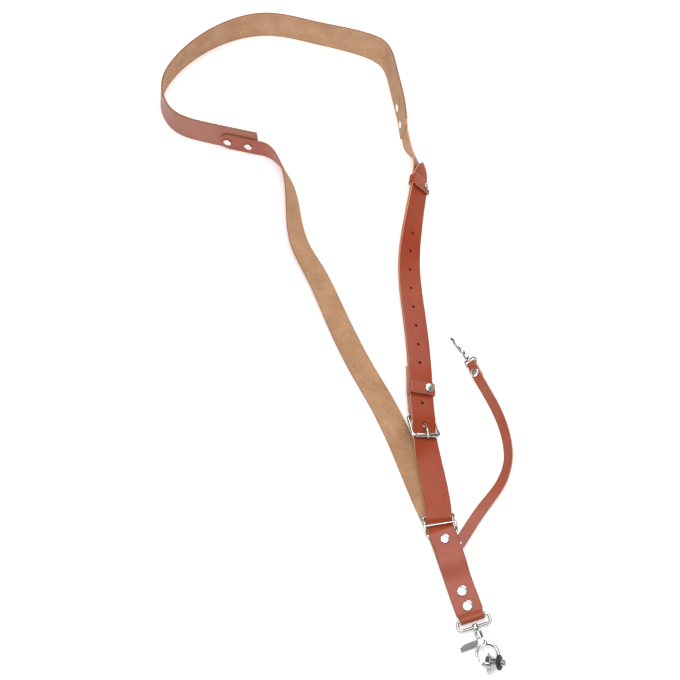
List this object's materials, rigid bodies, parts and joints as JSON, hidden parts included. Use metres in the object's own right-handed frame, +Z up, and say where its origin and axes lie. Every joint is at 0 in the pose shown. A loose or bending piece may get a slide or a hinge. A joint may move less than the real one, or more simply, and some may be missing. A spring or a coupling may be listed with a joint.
{
  "type": "camera neck strap",
  "caption": "Leather camera sling: wide neck band, two narrow straps with roller buckle and slide, riveted tab with swivel snap and screw connector, and a thin tether with a clasp.",
  "frame": {"origin": "middle of the laid-out strap, on the surface that it lies on", "axes": "+Y from the snap to the back of the loop, +X to the side of the tether, +Z up"},
  "size_m": [0.3795, 0.7525, 0.0381],
  "materials": {
    "leather": "smooth orange-brown grain",
    "nickel": "polished nickel",
    "rubber": "matte black"
  },
  "bodies": {
    "strap": {"buckle_frame": "nickel", "buckle_prong": "nickel", "buckle_roller": "nickel", "buckle_strap": "leather", "clasp_eye": "nickel", "left_rivet_1": "nickel", "left_rivet_2": "nickel", "left_strap": "leather", "lower_keeper": "leather", "lower_keeper_rivet": "nickel", "neck_band": "leather", "return_rivet": "nickel", "right_rivet_1": "nickel", "right_rivet_2": "nickel", "slide": "nickel", "snap_eye": "nickel", "tab_rivet_1": "nickel", "tab_rivet_2": "nickel", "tab_rivet_3": "nickel", "tether": "leather", "tether_rivet_1": "nickel", "tether_rivet_2": "nickel", "tongue_strap": "leather", "upper_keeper": "leather", "upper_keeper_rivet": "nickel"},
    "snap": {"snap_hook": "nickel"},
    "lever": {"snap_lever": "nickel"},
    "connector": {"connector_bail": "nickel", "connector_screw": "nickel", "connector_washer": "rubber"},
    "clasp": {"clasp_body": "nickel"},
    "clasp_gate": {"clasp_lever": "nickel"}
  },
  "joints": [
    {"name": "snap_swivel", "type": "hinge", "parent": "strap", "child": "snap", "pos_m": [0.14372, -0.33564, 0.00485], "axis": [0.3607, -0.9327, 0], "continuous": true},
    {"name": "lever_hinge", "type": "hinge", "parent": "snap", "child": "lever", "pos_m": [0.1485, -0.34966, 0.00485], "axis": [0, 0, 1], "range_deg": [0, 20], "stiffness_Nm_per_rad": 0.01, "springref_deg": -9.74},
    {"name": "connector_hinge", "type": "hinge", "parent": "snap", "child": "connector", "pos_m": [0.15337, -0.36987, 0.00485], "axis": [0.9998, 0.02, 0], "range_deg": [-30, 90]},
    {"name": "clasp_swivel", "type": "hinge", "parent": "strap", "child": "clasp", "pos_m": [0.15503, -0.06947, 0.00619], "axis": [-0.5683, 0.8228, 0], "continuous": true},
    {"name": "clasp_gate_hinge", "type": "hinge", "parent": "clasp", "child": "clasp_gate", "pos_m": [0.14674, -0.05745, 0.00421], "axis": [-0.8228, -0.5683, 0], "range_deg": [0, 16], "stiffness_Nm_per_rad": 0.002, "springref_deg": -9.74}
  ]
}
